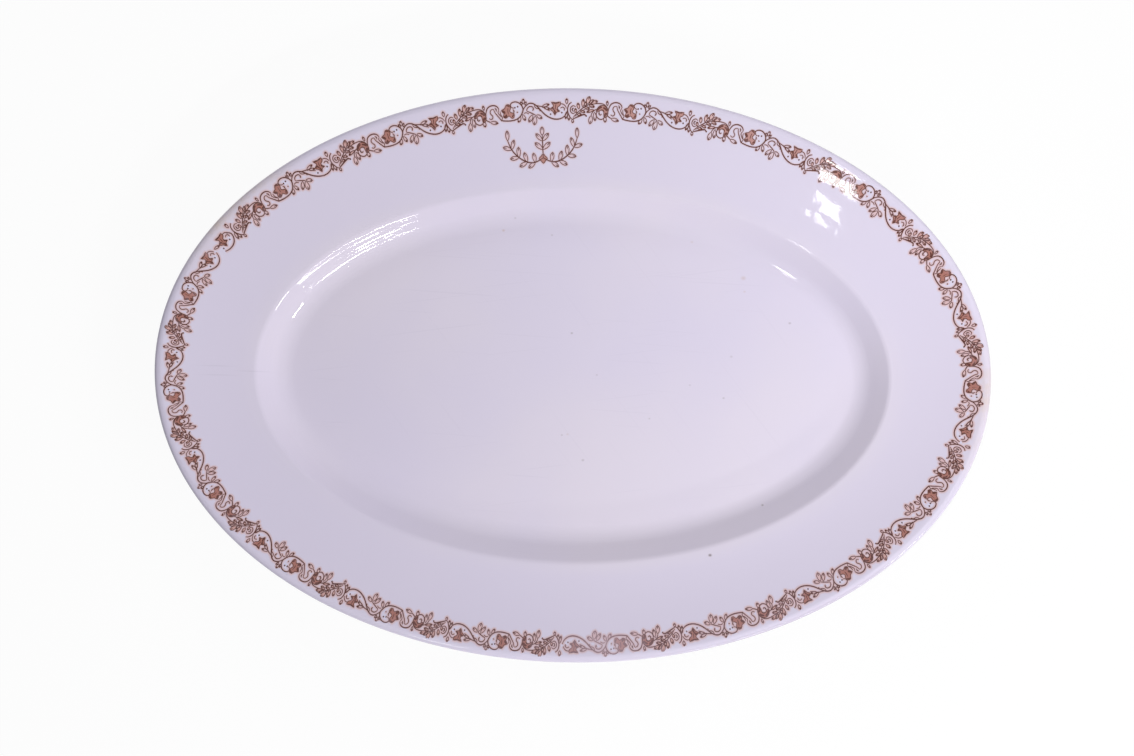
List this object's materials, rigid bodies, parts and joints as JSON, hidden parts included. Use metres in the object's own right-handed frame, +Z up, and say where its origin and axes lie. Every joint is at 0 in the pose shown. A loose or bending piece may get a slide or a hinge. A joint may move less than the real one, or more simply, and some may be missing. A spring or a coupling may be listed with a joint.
{
  "type": "oval serving platter",
  "caption": "Oval glazed ceramic turkey platter with a flat well, wide sloping rim, rounded lip and oval foot ring, and a brown printed scroll border round the rim.",
  "frame": {"origin": "middle of the oval on the plane that the foot ring stands on", "axes": "+X along the platter's length, +Y towards the printed spray on the rim, +Z up out of the well"},
  "size_m": [0.457, 0.314, 0.038],
  "materials": {
    "glazed_white": "gloss",
    "bare_clay": "matte",
    "brown_print": "gloss"
  },
  "bodies": {
    "root": {"platter_body": "glazed_white", "foot_ring": "bare_clay", "border_strip_left": "brown_print", "border_patch": "brown_print", "border_strip_upper": "brown_print", "border_strip_right": "brown_print", "rim_ornament": "brown_print"}
  },
  "joints": []
}
